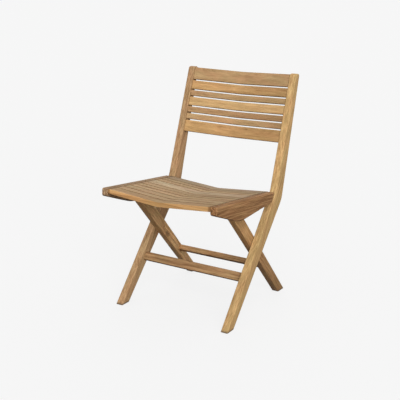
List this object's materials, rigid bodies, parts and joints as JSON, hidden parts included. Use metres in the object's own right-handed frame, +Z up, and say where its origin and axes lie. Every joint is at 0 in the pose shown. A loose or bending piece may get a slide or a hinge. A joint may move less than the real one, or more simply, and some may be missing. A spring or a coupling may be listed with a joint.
{
  "type": "folding slatted side chair",
  "caption": "Folding teak chair: dog-leg posts with a slatted back, scissor rear legs, and a slatted seat that turns up flat against the back",
  "frame": {"origin": "middle of the open chair's bounding box in plan, on the ground under the feet", "axes": "+Z up; -Y is the front of the seat; +X is the sitter's left"},
  "size_m": [0.499, 0.6251, 0.87],
  "materials": {
    "teak_golden": "matte",
    "teak_brown": "matte",
    "teak_pale": "matte",
    "steel": "satin"
  },
  "bodies": {
    "frame": {"post_left": "teak_golden", "post_right": "teak_golden", "back_top_rail": "teak_golden", "back_slat_2": "teak_golden", "back_slat_3": "teak_golden", "back_slat_4": "teak_golden", "back_slat_5": "teak_golden", "back_slat_6": "teak_golden", "back_bottom_rail": "teak_golden", "front_stretcher": "teak_golden", "seat_hinge_left": "steel", "seat_hinge_right": "steel", "hinge_tang_pins": "steel", "crossing_bolt_left": "steel", "crossing_bolt_right": "steel", "crossing_washer_left": "steel", "crossing_washer_right": "steel"},
    "seat": {"seat_rail_left": "teak_brown", "seat_rail_right": "teak_brown", "seat_slat_1": "teak_pale", "seat_slat_2": "teak_pale", "seat_slat_3": "teak_pale", "seat_slat_4": "teak_pale", "seat_slat_5": "teak_pale", "seat_slat_6": "teak_pale", "seat_slat_7": "teak_pale", "seat_slat_8": "teak_pale", "seat_slat_9": "teak_pale", "seat_slat_10": "teak_pale", "seat_pivot_left": "steel", "seat_pivot_right": "steel"},
    "rear_legs": {"rear_leg_left": "teak_brown", "rear_leg_right": "teak_brown", "rear_stretcher": "teak_brown", "leg_pin_left": "steel", "leg_pin_right": "steel", "crossing_plug_left": "teak_brown", "crossing_plug_right": "teak_brown"}
  },
  "joints": [
    {"name": "seat_fold", "type": "hinge", "parent": "frame", "child": "seat", "pos_m": [0, 0.08948, 0.42608], "axis": [-1, 0, 0], "range_deg": [0, 104]},
    {"name": "rear_leg_fold", "type": "hinge", "parent": "frame", "child": "rear_legs", "pos_m": [0, 0.00317, 0.254], "axis": [-1, 0, 0], "range_deg": [0, 55.13]}
  ],
  "couplings": [
    {"joint": "rear_leg_fold", "follows": "seat_fold", "ratio": 0.53}
  ]
}
